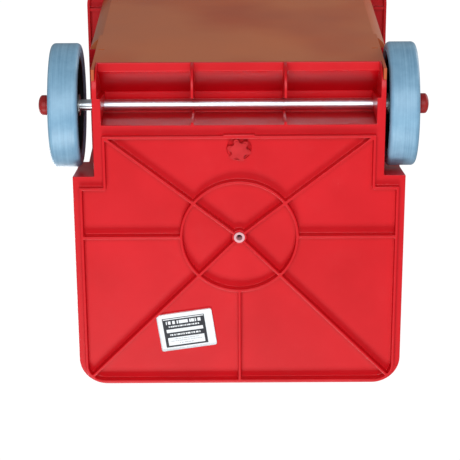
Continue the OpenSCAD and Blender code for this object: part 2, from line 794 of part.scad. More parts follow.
module coin_housing() color(red) difference() {
    union() {
        difference() {
            prism(coin_z, coin_top) plan(coin_half, coin_front, coin_back, coin_corner_r, coin_corner_r);
            prism(coin_z - over, coin_top + over)
                plan(coin_half - coin_wall, coin_front + coin_wall, coin_back - coin_wall,
                    coin_corner_r - coin_wall, coin_corner_r - coin_wall);
            box_at(drawer_x - drawer_half - 1, coin_front - over, drawer_low - 1,
                drawer_x + drawer_half + 1, coin_front + 2 * coin_wall, drawer_low + drawer_tall + 1);
            box_at(cup_x - cup_half, coin_front - over, cup_low, cup_x + cup_half,
                coin_front + 2 * coin_wall, cup_low + cup_tall);
            rod_y(button_x, coin_front - over, coin_front + 2 * coin_wall, button_z, button_r + gap);
            box_at(bezel_x - 2.5, coin_front - over, bezel_z - 16, bezel_x + 2.5,
                coin_front + 2 * coin_wall, bezel_z + 16);
        }
        for (p = housing_screw_places) rod_z(p[0], p[1], coin_z, coin_z + 12, 5);
        box_at(-30, coin_front + 1, coin_top - 10, 30, coin_front + coin_wall + 9, coin_top - 7);
        for (x = [-70, 46]) {
            rod_x(x, x + knuckle_l, coin_back + 6, lid_pin_z, 5);
            box_at(x, coin_back - 1, lid_pin_z - 5, x + knuckle_l, coin_back + 6, lid_pin_z);
        }
    }
    for (p = housing_screw_places) rod_z(p[0], p[1], coin_z - over, coin_z + 9, screw_r);
    rod_x(-half_w, half_w, coin_back + 6, lid_pin_z, 2.5 + fit);
}

module housing_screws() color("gainsboro") for (p = housing_screw_places) {
    rod_z(p[0], p[1], cab_top - cab_wall, coin_z + 8.5, screw_r - 0.02);
    rod_z(p[0], p[1], cab_top - cab_wall - screw_head_t, cab_top - cab_wall, screw_head_r);
}

module coin_mech() color("lightgray") {
    x0 = bezel_x - 18;
    x1 = coin_half - coin_wall;
    y0 = coin_front + coin_wall + 9;
    y1 = y0 + 100;
    z0 = drawer_low + drawer_tall + 14;
    z1 = coin_top - 22;
    difference() {
        box_at(x0, y0, z0, x1, y1, z1);
        box_at(x0 - over, y0 + 8, z0 + 8, x0 + 10, y1 - 8, z1 - 8);
        box_at(bezel_x - 2, y0 - over, bezel_z - 14, bezel_x + 2, y0 + 5, bezel_z + 14);
    }
    for (q = [[30, 30], [62, 20], [48, 48]]) rod_x(x0 + 2, x0 + 11, y0 + q[0], z0 + q[1], 7);
    // chute from the slot
    difference() {
        box_at(bezel_x - 4, coin_front + coin_wall, bezel_z - 18, bezel_x + 4, y0 + 0.01, bezel_z + 18);
        box_at(bezel_x - 2.5, coin_front, bezel_z - 16, bezel_x + 2.5, y0 + 1, bezel_z + 16);
    }
}

module slot_bezel() color("gainsboro") difference() {
    union() {
        translate([bezel_x, coin_front, bezel_z]) rotate([90, 0, 0]) linear_extrude(3)
            plan(17, -30, 30, 6, 6);
        translate([bezel_x, coin_front - 3, bezel_z]) rotate([90, 0, 0]) linear_extrude(2)
            plan(7, -20, 20, 5, 5);
    }
    box_at(bezel_x - 1.6, coin_front - 8, bezel_z - 14, bezel_x + 1.6, coin_front + over, bezel_z + 14);
}

module rate_plate() color("whitesmoke") difference() {
    translate([plate_x, coin_front, bezel_z]) rotate([90, 0, 0]) linear_extrude(3) plan(30, -30, 30, 4, 4);
    translate([plate_x, coin_front - 2, bezel_z]) rotate([90, 0, 0]) linear_extrude(3) plan(26, -26, 26, 2, 2);
}

module return_button() color("gainsboro") {
    rod_y(button_x, coin_front - 9, coin_front + coin_wall + 3, button_z, button_r);
    rod_y(button_x, coin_front + coin_wall + gap, coin_front + coin_wall + 3, button_z, button_r + 3);
}

module return_cup() color("#303030") difference() {
    box_at(cup_x - cup_half + gap, coin_front + 0.5, cup_low + gap, cup_x + cup_half - gap,
        coin_front + 45, cup_low + cup_tall - gap);
    box_at(cup_x - cup_half + 2.5, coin_front - over, cup_low + 2.5, cup_x + cup_half - 2.5,
        coin_front + 43, cup_low + cup_tall - 2.5);
    rod_x(cup_x - cup_half - over, cup_x + cup_half + over, flap_y, flap_z, flap_pin_r + 0.02);
}

flap_y = coin_front + 6;
flap_z = cup_low + cup_tall - 7;
module flap_pin() color("silver")
    rod_x(cup_x - cup_half + gap, cup_x + cup_half - gap, flap_y, flap_z, flap_pin_r);

module return_flap() color("#404040") difference() {
    union() {
        rod_x(cup_x - cup_half + 3, cup_x + cup_half - 3, flap_y, flap_z, 3);
        box_at(cup_x - cup_half + 3, flap_y - 1.2, cup_low + 4, cup_x + cup_half - 3, flap_y + 1.2, flap_z);
    }
    rod_x(cup_x - cup_half, cup_x + cup_half, flap_y, flap_z, flap_pin_r + fit);
}

lock_z = drawer_low + drawer_tall / 2;
module coin_drawer() color("gray") difference() {
    x0 = drawer_x - drawer_half;
    x1 = drawer_x + drawer_half;
    union() {
        box_at(x0, coin_front - 4, drawer_low, x1, coin_front, drawer_low + drawer_tall);
        box_at(x0 + 3, coin_front - 1, drawer_low + 3, x1 - 3, coin_front + 12, drawer_low + 5);
        difference() {
            box_at(x0 + 3, coin_front + 11, drawer_low + 3, x1 - 3, coin_front + drawer_deep, drawer_low + 55);
            box_at(x0 + 3 + drawer_wall, coin_front + 11 + drawer_wall, drawer_low + 3 + drawer_wall,
                x1 - 3 - drawer_wall, coin_front + drawer_deep - drawer_wall, drawer_low + 56);
        }
    }
    rod_y(drawer_x, coin_front - 10, coin_front + 5, lock_z, lock_r + gap);
}

// Channel on the cabinet roof that the drawer slides in
module drawer_runner() color("silver") {
    x0 = drawer_x - drawer_half + 1;
    x1 = drawer_x + drawer_half - 1;
    y0 = coin_front + coin_wall + 4;
    y1 = coin_front + drawer_deep + 15;
    box_at(x0, y0, drawer_low + 0.7, x1, y1, drawer_low + 2.7);
    for (x = [x0, x1 - 2]) box_at(x, y0, coin_z, x + 2, y1, drawer_low + 2.7);
    box_at(x0, y1 - 2, coin_z, x1, y1, drawer_low + 40);
}

// Cam lock drawn along +Z: head, barrel and a cam that points along +X
module cam_lock(barrel, reach) {
    difference() {
        union() {
            translate([0, 0, barrel]) cylinder(h = 3, r = lock_head_r);
            cylinder(h = barrel + 1, r = lock_r);
        }
        translate([-0.9, -4, barrel + 1]) cube([1.8, 8, 5]);
    }
    translate([0, -6, 0]) cube([reach, 12, cam_t]);
}

module drawer_lock() color("gainsboro")
    translate([drawer_x, coin_front + 5 + cam_t, lock_z]) rotate([90, 0, 0]) cam_lock(9 + cam_t, 41);

lid_pin_z = coin_top - 6;
module housing_lid() color(red) difference() {
    union() {
        prism(coin_top + gap, coin_top + gap + 4)
            plan(coin_half + 3.6, coin_front - 3.6, coin_back - 2, coin_corner_r + 3.6, 4);
        difference() {
            prism(coin_top - 12, coin_top + gap + 1)
                plan(coin_half + 3.6, coin_front - 3.6, coin_back - 12, coin_corner_r + 3.6, 0);
            prism(coin_top - 13, coin_top + gap)
                plan(coin_half + 0.6, coin_front - 0.6, coin_back, coin_corner_r + 0.6, 0);
        }
        for (x = [-45, 21]) {
            rod_x(x, x + knuckle_l, coin_back + 6, lid_pin_z, 5);
            box_at(x, coin_back + 1, lid_pin_z, x + knuckle_l, coin_back + 11, coin_top + gap + 4);
            box_at(x, coin_back - 4, coin_top + gap, x + knuckle_l, coin_back + 11, coin_top + gap + 4);
        }
    }
    rod_x(-half_w, half_w, coin_back + 6, lid_pin_z, 2.5 + fit);
    rod_z(0, coin_front + 25, coin_top - 5, coin_top + 10, lock_r + gap);
}

module lid_hinge_pin() color("silver") rod_x(-72, 72, coin_back + 6, lid_pin_z, 2.5);

module lid_lock() color("gainsboro")
    translate([0, coin_front + 25, coin_top - 14]) cam_lock(14 + gap + 4, 18);

// ---------- rear handle ----------

handle_screw_places = [for (s = [-1, 1], t = [-1, 1]) [s * handle_half, handle_z + t * 16]];

module rear_handle() color("#1c1c1c") difference() {
    bend = 22;
    union() for (s = [-1, 1]) {
        rod_y(s * handle_half, cab_back, cab_back + handle_out - bend, handle_z, handle_r);
        translate([s * (handle_half - bend), cab_back + handle_out - bend, handle_z])
            rotate([0, 0, s > 0 ? 0 : 90]) rotate_extrude(angle = 90) translate([bend, 0]) circle(handle_r);
        box_at(s * handle_half - 13, cab_back, handle_z - 24, s * handle_half + 13, cab_back + 4, handle_z + 24);
        rod_x(s > 0 ? 0 : -handle_half + bend, s > 0 ? handle_half - bend : 0, cab_back + handle_out,
            handle_z, handle_r);
    }
    for (p = handle_screw_places) rod_y(p[0], cab_back - over, cab_back + 5, p[1], screw_r + 0.1);
}

module handle_screws() color("gainsboro") for (p = handle_screw_places) {
    rod_y(p[0], cab_back + 4, cab_back + 4 + screw_head_t, p[1], screw_head_r);
    rod_y(p[0], cab_back, cab_back + 4, p[1], screw_r);
}

base_tray();
anchor_bushing();
base_label();
star_knob();
clamp_bolt();
clamp_plate();
ballast_plate();
axle();
axle_washers();
flange_washers();
left_hub();
right_hub();
left_tyre();
right_tyre();
left_axle_cap();
right_axle_cap();
pedestal_tub();
tub_screws();
cabinet_shell();
cabinet_bolts();
paper_shelf();
door_frame();
window_gasket();
window_pane();
window_retainer();
retainer_screws();
door_handle();
door_hinge_pin();
door_springs();
door_catch();
paper_holder();
latch_bracket();
latch_pin();
latch_hook();
latch_link();
coin_housing();
housing_screws();
coin_mech();
slot_bezel();
rate_plate();
return_button();
return_cup();
return_flap();
flap_pin();
coin_drawer();
drawer_runner();
drawer_lock();
housing_lid();
lid_hinge_pin();
lid_lock();
rear_handle();
handle_screws();
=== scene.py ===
# %% [markdown]
# # A wheeled pedestal box for newspapers
# The box stands on a red moulded base with two wheels, so it can be tipped back and rolled. Above the base
# are a tan tub with ballast in it, a red cabinet with a drop-down door, and a coin housing on top. The
# camera lies low and looks up at the ribbed underside. The engineering model is loaded first and fixes
# every size. This file then gives each piece its rounded edges and its finish.

import json
import math

import bpy
from mathutils import Matrix, Vector


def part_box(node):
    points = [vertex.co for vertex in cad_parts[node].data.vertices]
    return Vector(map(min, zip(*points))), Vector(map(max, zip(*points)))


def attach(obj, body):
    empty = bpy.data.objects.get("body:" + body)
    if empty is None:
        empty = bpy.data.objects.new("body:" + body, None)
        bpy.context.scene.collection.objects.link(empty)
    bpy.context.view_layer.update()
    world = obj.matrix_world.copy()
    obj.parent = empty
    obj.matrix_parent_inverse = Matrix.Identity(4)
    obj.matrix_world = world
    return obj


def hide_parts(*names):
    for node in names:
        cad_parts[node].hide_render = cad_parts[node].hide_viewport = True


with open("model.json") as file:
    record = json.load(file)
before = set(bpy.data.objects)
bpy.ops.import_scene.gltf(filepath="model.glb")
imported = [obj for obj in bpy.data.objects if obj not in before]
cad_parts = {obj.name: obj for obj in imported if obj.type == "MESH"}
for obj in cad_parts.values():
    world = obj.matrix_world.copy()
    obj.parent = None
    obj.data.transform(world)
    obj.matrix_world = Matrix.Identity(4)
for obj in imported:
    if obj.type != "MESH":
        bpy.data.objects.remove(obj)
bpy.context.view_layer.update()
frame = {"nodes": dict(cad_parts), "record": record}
body_of_node = {
    node: body
    for body, nodes in frame["record"]["behaviour"]["bodies"].items()
    for node in nodes
}
slot_of_node = {
    part["node"]: part["material_slot"]
    for part in frame["record"]["subparts"]
}

# %% [markdown]
# ## Camera and light
# The camera looks up from low behind the box, with a long lens and a slight roll. The light is what a
# product studio has: a white surround for even light, a large soft panel near the camera so that ribs and
# edges catch a clean highlight, and a second panel in front of the box and below it, so that each rib has a
# lit flank and a shaded one. Two weaker panels light the cabinet.

# %% Camera
tilt = math.radians(21.4)
lens_mm, sensor_mm = 136.96, 36
eye = Vector((0.013, 0.904, -2.277))
roll = math.radians(0.3)
side, up, back = (
    Vector((-1, 0, 0)),
    Vector((0, math.cos(tilt), math.sin(tilt))),
    Vector((0, math.sin(tilt), -math.cos(tilt))),
)
camera = bpy.data.objects.new("camera", bpy.data.cameras.new("camera"))
bpy.context.scene.collection.objects.link(camera)
camera.matrix_world = Matrix.Translation(eye) @ (
    Matrix((side, up, back)).transposed() @ Matrix.Rotation(-roll, 3, "Z")
).to_4x4()
camera.data.lens = lens_mm
camera.data.sensor_width = sensor_mm
bpy.context.scene.camera = camera
bpy.context.scene.view_settings.view_transform = "Standard"
print("camera", camera.location, "lens", lens_mm)


# %% Light panels and surround
def soft_panel(name, place, target, width, height, watts, tint=(1, 1, 1)):
    """A rectangular light at place that faces target."""
    panel = bpy.data.objects.new(name, bpy.data.lights.new(name, "AREA"))
    panel.data.shape = "RECTANGLE"
    panel.data.size, panel.data.size_y = width, height
    panel.data.energy = watts
    panel.data.color = tint
    panel.location = place
    panel.rotation_mode = "QUATERNION"
    panel.rotation_quaternion = (Vector(target) - Vector(place)).to_track_quat("-Z", "Y")
    bpy.context.scene.collection.objects.link(panel)


base_middle, box_middle = (0, 0, 0.05), (0, 0, 0.6)
cool_tint = (0.9, 0.96, 1.0)
soft_panel("panel_below", (0.5, -3.3, -3.2), base_middle, 2.0, 1.6, 96)
soft_panel("panel_facing", (0.0, 1.2, -2.8), base_middle, 2.6, 2.0, 66, cool_tint)
soft_panel("panel_above", (1.3, -1.8, 2.6), box_middle, 1.6, 1.6, 42)
soft_panel("panel_far_side", (-2.0, 0.9, 1.6), box_middle, 1.4, 1.4, 22)

surround = bpy.data.worlds.new("surround")
bpy.context.scene.world = surround
surround.use_nodes = True
sky = surround.node_tree
seen_strength, lit_strength = 1.05, 0.3
seen, lit = sky.nodes["Background"], sky.nodes.new("ShaderNodeBackground")
seen.inputs["Color"].default_value = (1, 1, 1, 1)
seen.inputs["Strength"].default_value = seen_strength
lit.inputs["Color"].default_value = (0.97, 0.985, 1, 1)
lit.inputs["Strength"].default_value = lit_strength
choose, ray = sky.nodes.new("ShaderNodeMixShader"), sky.nodes.new("ShaderNodeLightPath")
sky.links.new(ray.outputs["Is Camera Ray"], choose.inputs[0])
sky.links.new(lit.outputs[0], choose.inputs[1])
sky.links.new(seen.outputs[0], choose.inputs[2])
sky.links.new(choose.outputs[0], sky.nodes["World Output"].inputs["Surface"])

# %% [markdown]
# ## Writing a finish
# A finish is a small sum: base colour, plus a little variation, plus wear. Joining Math nodes by hand hides
# that sum, so a reading (one number that changes over the surface) is wrapped in a class that knows + - *
# and /. The workbench below it adds every other kind of node through one method.


# %% A number that varies over the surface
class Reading:
    def __init__(self, bench, socket):
        self.bench, self.socket = bench, socket

    def _with(self, operation, *others):
        values = {i: v for i, v in enumerate(others)}
        made = self.bench.node("ShaderNodeMath", {"operation": operation}, values)
        return Reading(self.bench, made.outputs[0])

    def __add__(self, other):
        return self._with("ADD", self, other)

    __radd__ = __add__

    def __mul__(self, other):
        return self._with("MULTIPLY", self, other)

    __rmul__ = __mul__

    def __sub__(self, other):
        return self._with("SUBTRACT", self, other)

    def __rsub__(self, other):
        return self._with("SUBTRACT", other, self)

    def __truediv__(self, other):
        return self._with("DIVIDE", self, other)

    def power(self, other):
        return self._with("POWER", self, other)

    def under(self, limit):
        return self._with("LESS_THAN", self, limit)

    def over(self, limit):
        return self._with("GREATER_THAN", self, limit)

    def between(self, low, high):
        """0 below low, 1 above high, and a straight ramp from one to the other."""
        made = self.bench.node(
            "ShaderNodeMapRange", {"clamp": True}, {"Value": self, "From Min": low, "From Max": high}
        )
        return Reading(self.bench, made.outputs[0])


# %% The workbench that makes a material
class Workbench:
    def __init__(self, name):
        self.material = bpy.data.materials.new(name)
        self.material.use_nodes = True
        self.tree = self.material.node_tree
        self.shader = self.tree.nodes["Principled BSDF"]
        self.place = self.node("ShaderNodeTexCoord").outputs["Object"]

    def node(self, kind, settings=None, inputs=None):
        made = self.tree.nodes.new(kind)
        for key, value in (settings or {}).items():
            setattr(made, key, value)
        for key, value in (inputs or {}).items():
            self.feed(made.inputs[key], value)
        return made

    def feed(self, socket, value):
        value = value.socket if isinstance(value, Reading) else value
        if isinstance(value, bpy.types.NodeSocket):
            self.tree.links.new(value, socket)
        else:
            socket.default_value = value

    def stretched(self, stretch, turn=(0, 0, 0), shift=(0, 0, 0)):
        values = {"Vector": self.place, "Scale": stretch, "Rotation": turn, "Location": shift}
        return self.node("ShaderNodeMapping", {}, values).outputs[0]

    def cloud(self, scale, detail=4.0, rough=0.55, place=None):
        values = {"Vector": place or self.place, "Scale": scale, "Detail": detail, "Roughness": rough}
        return Reading(self, self.node("ShaderNodeTexNoise", {}, values).outputs[0])

    def cells(self, scale):
        made = self.node("ShaderNodeTexVoronoi", {}, {"Vector": self.place, "Scale": scale})
        return Reading(self, made.outputs[0])

    def axes(self, place):
        made = self.node("ShaderNodeSeparateXYZ", {}, {0: place})
        return [Reading(self, s) for s in made.outputs]

    def blend(self, amount, low, high):
        made = self.node("ShaderNodeMix", {"data_type": "RGBA"}, {0: amount, 6: low, 7: high})
        return made.outputs[2]

    def relief(self, height, depth_m, strength):
        values = {"Height": height, "Distance": depth_m, "Strength": strength}
        self.feed(self.shader.inputs["Normal"], self.node("ShaderNodeBump", {}, values).outputs[0])

    def show(self, amount, low, high):
        """Shows shader low where amount is 0 and shader high where it is 1."""
        mixed = self.node("ShaderNodeMixShader", {}, {0: amount, 1: low, 2: high})
        self.tree.links.new(mixed.outputs[0], self.tree.nodes["Material Output"].inputs["Surface"])

    def set(self, **values):
        for key, value in values.items():
            self.feed(self.shader.inputs[key.replace("_", " ").title().replace("Ior", "IOR")], value)


def colour(red, green, blue):
    """A display colour from 0 to 255 as the linear numbers that shaders use."""

    def linear(v):
        v /= 255
        return v / 12.92 if v <= 0.04045 else ((v + 0.055) / 1.055) ** 2.4

    return (linear(red), linear(green), linear(blue), 1.0)


# %% [markdown]
# ## Moulded plastic
# A large moulding is never one even colour. It has slow, faint drifts of tone where the resin cooled, a
# fine grain from the mould, and thin pale scuffs where it has been dragged about. One recipe with different
# numbers covers the base, the cabinet, the tub and the small plastic pieces.


# %% The recipe
def moulded(
    name, main, deep, rough, grain_m, scuff_amount, pale, drift_scale=9.0, blotch=0.0, gloss_coat=0.0
):
    """main and deep are the tones it drifts between, and pale is the tone of scuffs and blotches."""
    bench = Workbench(name)
    drift = bench.cloud(drift_scale, 3.0)
    fine = bench.cloud(900.0, 2.0)
    worn = bench.cloud(30.0, 6.0, 0.7).between(0.52, 0.75)
    lines = bench.cloud(60.0, 3.0, place=bench.stretched((1, 14, 3), (0.2, 0.1, 0.7)))
    lines = lines + bench.cloud(60.0, 3.0, place=bench.stretched((14, 1, 3), (0.1, 0.4, -0.5)))
    scratch = lines.between(1.24, 1.34) * worn
    tone = bench.blend(drift.between(0.3, 0.72), deep, main)
    if blotch:
        patch = bench.cloud(5.0, 2.0, 0.4).between(0.44, 0.62) * blotch
        tone = bench.blend(patch, tone, pale)
    scuffs = scratch * scuff_amount + worn * (scuff_amount * 0.12)
    bench.set(
        base_color=bench.blend(scuffs, tone, pale),
        roughness=drift * 0.12 + scratch * 0.25 + (rough - 0.06),
        coat_weight=gloss_coat,
        coat_roughness=0.12,
        specular_ior_level=0.3,
    )
    bench.relief(fine + scratch * 1.5, grain_m, 0.35)
    return bench.material


red_base = moulded(
    "red_base", colour(220, 10, 26), colour(208, 6, 20), 0.38, 0.00022, 0.3, colour(234, 92, 92),
    gloss_coat=0.06,
)
red_cabinet = moulded(
    "red_cabinet", colour(206, 10, 22), colour(199, 8, 20), 0.34, 0.0002, 0.2, colour(228, 90, 88),
    gloss_coat=0.15,
)
tan_tub = moulded(
    "tan_tub", colour(206, 98, 52), colour(188, 84, 44), 0.42, 0.0003, 0.2, colour(222, 140, 88),
    drift_scale=7.0, blotch=0.4,
)
red_cap = moulded(
    "red_cap", colour(188, 44, 42), colour(170, 34, 36), 0.42, 0.0002, 0.3, colour(220, 110, 100), 60.0
)
red_knob = moulded(
    "red_knob", colour(214, 36, 42), colour(196, 28, 34), 0.4, 0.0002, 0.25, colour(230, 110, 104), 60.0
)
black_plastic = moulded(
    "black_plastic", colour(34, 34, 37), colour(24, 24, 27), 0.45, 0.0004, 0.25, colour(92, 92, 96), 30.0
)
pale_nylon = moulded(
    "pale_nylon", colour(236, 178, 184), colour(222, 172, 174), 0.4, 0.0001, 0.2, colour(244, 224, 220), 80.0
)
wire_black = moulded(
    "wire_black", colour(30, 30, 31), colour(20, 20, 21), 0.3, 0.0001, 0.2, colour(110, 110, 112), 60.0
)
handle_black = moulded(
    "handle_black", colour(32, 32, 34), colour(24, 24, 26), 0.4, 0.0004, 0.25, colour(96, 96, 98), 40.0
)
print("moulded finishes", [m.name for m in bpy.data.materials if m.users == 0])

# %% [markdown]
# ## Rubber, metal and clear sheet
# Rubber has a dusty bloom, and a tyre is streaked round the wheel by rolling. The axle's steel keeps fine
# lines along its length, the drawer and the trim are brushed one way, every metal has faint stains, and
# cast iron is pitted. The pane is clear polycarbonate that shows a stronger sheen where it is seen at a
# slant.


# %% Rubber
def rubber(name, main, dusty, rough, streaked=0.0):
    bench = Workbench(name)
    bloom = bench.cloud(38.0, 5.0, 0.65).between(0.35, 0.7)
    if streaked:
        streaks = bench.cloud(520.0, 3.0, place=bench.stretched((1, 0.01, 0.01))).between(0.34, 0.66)
        bloom = bloom * (1 - streaked) + streaks * streaked
    grit = bench.cloud(1400.0, 2.0)
    bench.set(base_color=bench.blend(bloom, main, dusty), roughness=bloom * 0.14 + rough)
    bench.relief(grit + bloom * 0.6, 0.0003, 0.4)
    return bench.material


grey_tyre = rubber("grey_tyre", colour(112, 156, 186), colour(150, 192, 218), 0.3, 0.5)
black_gasket = rubber("black_gasket", colour(26, 26, 28), colour(52, 52, 54), 0.5)
print("rubber", grey_tyre.name, black_gasket.name)


# %% Metals
def metal(name, main, dull, rough, line_stretch, grain_scale, pit_m=0.00005):
    bench = Workbench(name)
    lines = bench.cloud(grain_scale, 3.0, place=bench.stretched(line_stretch))
    stain = bench.cloud(22.0, 5.0, 0.6).between(0.45, 0.8)
    bench.set(
        base_color=bench.blend(stain, main, dull),
        metallic=1.0,
        roughness=lines * 0.12 + stain * 0.12 + (rough - 0.06),
    )
    bench.relief(lines, pit_m, 0.3)
    return bench.material


axle_chrome = metal(
    "axle_chrome", colour(240, 245, 250), colour(220, 228, 238), 0.3, (0.02, 1, 1), 500.0, 0.00002
)
bezel_chrome = metal(
    "bezel_chrome", colour(226, 228, 230), colour(204, 206, 208), 0.14, (1, 1, 0.1), 400.0, 0.00002
)
zinc_steel = metal(
    "zinc_steel", colour(196, 198, 196), colour(158, 160, 154), 0.34, (1, 1, 1), 120.0, 0.0001
)
drawer_steel = metal(
    "drawer_steel", colour(176, 178, 180), colour(150, 152, 154), 0.32, (1, 1, 0.05), 400.0
)
trim_aluminium = metal(
    "trim_aluminium", colour(206, 208, 210), colour(180, 182, 184), 0.3, (0.05, 1, 1), 400.0
)


def cast_iron():
    bench = Workbench("ballast_iron")
    pits = bench.cells(420.0)
    rust = bench.cloud(18.0, 6.0, 0.7).between(0.5, 0.72)
    bench.set(
        base_color=bench.blend(rust, colour(70, 70, 72), colour(112, 66, 44)),
        metallic=0.75,
        roughness=rust * 0.25 + 0.55,
    )
    bench.relief(pits + rust, 0.0006, 0.6)
    return bench.material


ballast_iron = cast_iron()
print("metals", [m.name for m in (axle_chrome, bezel_chrome, zinc_steel, drawer_steel, trim_aluminium)])


# %% Clear pane
def clear_pane():
    bench = Workbench("window_clear")
    haze = bench.cloud(14.0, 4.0)
    bench.set(base_color=(0.75, 0.8, 0.8, 1), metallic=0.6, roughness=haze * 0.05 + 0.02)
    glass = bench.node("ShaderNodeBsdfTransparent", {}, {"Color": (0.94, 0.97, 0.97, 1)})
    facing = Reading(bench, bench.node("ShaderNodeLayerWeight", {}, {"Blend": 0.5}).outputs["Facing"])
    sheen = facing.power(4.0) * 0.6 + bench.cloud(90.0, 4.0).between(0.6, 0.9) * 0.03 + 0.04
    bench.show(sheen, glass.outputs[0], bench.shader.outputs[0])
    return bench.material


window_clear = clear_pane()

finish_of_slot = {
    "base_red": red_base,
    "cabinet_red": red_cabinet,
    "tub_tan": tan_tub,
    "cap_red": red_cap,
    "knob_red": red_knob,
    "bushing_nylon": pale_nylon,
    "axle_chrome": axle_chrome,
    "zinc_steel": zinc_steel,
    "ballast_iron": ballast_iron,
    "hub_black": black_plastic,
    "tyre_grey": grey_tyre,
    "gasket_black": black_gasket,
    "window_clear": window_clear,
    "aluminium_trim": trim_aluminium,
    "handle_black": handle_black,
    "wire_black": wire_black,
    "bezel_chrome": bezel_chrome,
    "drawer_steel": drawer_steel,
}
for node, thing in frame["nodes"].items():
    finish = finish_of_slot.get(slot_of_node.get(node))
    if finish:
        thing.data.materials.clear()
        thing.data.materials.append(finish)
print("slots without a finish", sorted(set(slot_of_node.values()) - set(finish_of_slot)))

# %% [markdown]
# ## Floor
# A wide pale sheet lies just under the ribs. Seen from below it would hide the whole subject, so its
# material lets anything through from its back face, and only its upper face is solid. It casts no shadow on
# the subject and throws no light back at it.

# %% The floor
floor_size, floor_drop = 60, 0.0006
bpy.ops.object.select_all(action="DESELECT")
bpy.ops.mesh.primitive_plane_add(size=floor_size, location=(0, 0, -floor_drop))
floor = bpy.context.object
floor.name = "studio_floor"
bpy.ops.object.transform_apply(location=True)
floor_bench = Workbench("studio_floor")
floor_bench.set(base_color=(0.62, 0.62, 0.61, 1), roughness=floor_bench.cloud(3.0) * 0.1 + 0.6)
floor_bench.set(emission_color=(1, 1, 0.985, 1), emission_strength=0.42, specular_ior_level=0.2)
from_below = floor_bench.node("ShaderNodeNewGeometry").outputs["Backfacing"]
clear = floor_bench.node("ShaderNodeBsdfTransparent").outputs[0]
floor_bench.show(from_below, floor_bench.shader.outputs[0], clear)
floor.data.materials.append(floor_bench.material)
for kind in ("shadow", "diffuse", "glossy", "transmission"):
    setattr(floor, f"visible_{kind}", False)
print("floor", floor_size, "m wide")

# %% [markdown]
# ## Rounding what was moulded
# No real moulding or casting has a knife edge, and it is the narrow highlight along each rounded edge that
# makes a model look made. A node of the engineering model is loose triangles, so a copy of it is merged,
# its flat faces are joined and cut again into well shaped ones, and a bevel rounds every edge sharper than
# a set angle. A bevel that folds a face over itself is made again with a smaller rounding. The mesh stays
# inside its box.


# %% Softened copies
bevel_segments = 2
sharpest_kept = math.radians(32)
flat_within = math.radians(0.6)
quads_within = math.radians(1)
weld_within = 2e-6


def work_on(piece):
    bpy.ops.object.select_all(action="DESELECT")
    piece.select_set(True)
    bpy.context.view_layer.objects.active = piece


def finished(piece, body, slot, finish, *nodes):
    """Gives a piece its finish and body, and hides the nodes that it stands for."""
    piece.data.materials.clear()
    piece.data.materials.append(finish)
    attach(piece, body)
    if nodes:
        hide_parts(*nodes)


def filled_area(mesh):
    """The area of the triangles that the mesh is drawn with, which a folded face makes larger."""
    mesh.calc_loop_triangles()
    return sum(triangle.area for triangle in mesh.loop_triangles)


def apply_bevel(piece, width, limits):
    """A rounding takes area away, so one that adds area has folded over itself and is made again, clamped."""
    before, area = piece.data.copy(), filled_area(piece.data)
    for clamped in limits:
        rounding = piece.modifiers.new("rounding", "BEVEL")
        rounding.width, rounding.segments = width, bevel_segments
        rounding.limit_method, rounding.angle_limit = "ANGLE", sharpest_kept
        rounding.use_clamp_overlap = clamped
        rounding.miter_outer = "MITER_ARC"
        work_on(piece)
        bpy.ops.object.modifier_apply(modifier="rounding")
        if filled_area(piece.data) < area:
            break
        if not clamped:
            piece.data = before.copy()
            print(f"{piece.name}: rounded within its limits")


def smooth_by_area(piece, degrees=38):
    """Smooth shading in which large flat faces keep their own normals and only the rounded edges turn."""
    work_on(piece)
    bpy.ops.object.shade_smooth_by_angle(angle=math.radians(degrees))
    weighing = piece.modifiers.new("weighing", "WEIGHTED_NORMAL")
    weighing.keep_sharp, weighing.weight = True, 100
    bpy.ops.object.modifier_apply(modifier="weighing")


def merged_copy(node, name, whole):
    """whole leaves each flat face in one piece."""
    piece = bpy.data.objects.new(name, frame["nodes"][node].data.copy())
    bpy.context.scene.collection.objects.link(piece)
    work_on(piece)
    bpy.ops.mesh.customdata_custom_splitnormals_clear()
    bpy.ops.object.mode_set(mode="EDIT")
    bpy.ops.mesh.select_all(action="SELECT")
    bpy.ops.mesh.remove_doubles(threshold=weld_within)
    bpy.ops.mesh.dissolve_limited(angle_limit=flat_within)
    if not whole:
        bpy.ops.mesh.quads_convert_to_tris(quad_method="BEAUTY", ngon_method="BEAUTY")
        bpy.ops.mesh.tris_convert_to_quads(face_threshold=quads_within, shape_threshold=math.pi)
    bpy.ops.object.mode_set(mode="OBJECT")
    return piece


def deeper_valleys(piece, lobes=6, depth=0.0026, untouched=0.009):
    """Draws the rim in between a knob's lobes, so that the lobes stand out."""
    corners = [vertex.co for vertex in piece.data.vertices]
    middle_x, middle_y = (
        (min(c[i] for c in corners) + max(c[i] for c in corners)) / 2 for i in (0, 1)
    )
    far = max(corners, key=lambda c: math.hypot(c.x - middle_x, c.y - middle_y))
    first = math.atan2(far.y - middle_y, far.x - middle_x)
    for c in corners:
        x, y = c.x - middle_x, c.y - middle_y
        reach = math.hypot(x, y)
        if reach > untouched:
            valley = (1 - math.cos(lobes * (math.atan2(y, x) - first))) / 2
            kept = 1 - depth * valley / reach
            c.x, c.y = middle_x + x * kept, middle_y + y * kept


def softened(node, width, shape=None, whole=False):
    """A large plain front is kept whole, with a clamped rounding, so that it shows no cuts."""
    piece = merged_copy(node, f"{node}_soft", whole)
    before = len(piece.data.polygons)
    if shape:
        shape(piece)
    apply_bevel(piece, width, (True,) if whole else (False, True))
    smooth_by_area(piece)
    slot = slot_of_node[node]
    finished(piece, body_of_node[node], slot, finish_of_slot[slot], node)
    print(f"{node}: {before} faces, {len(piece.data.polygons)} when rounded to {width * 1000:.1f} mm")


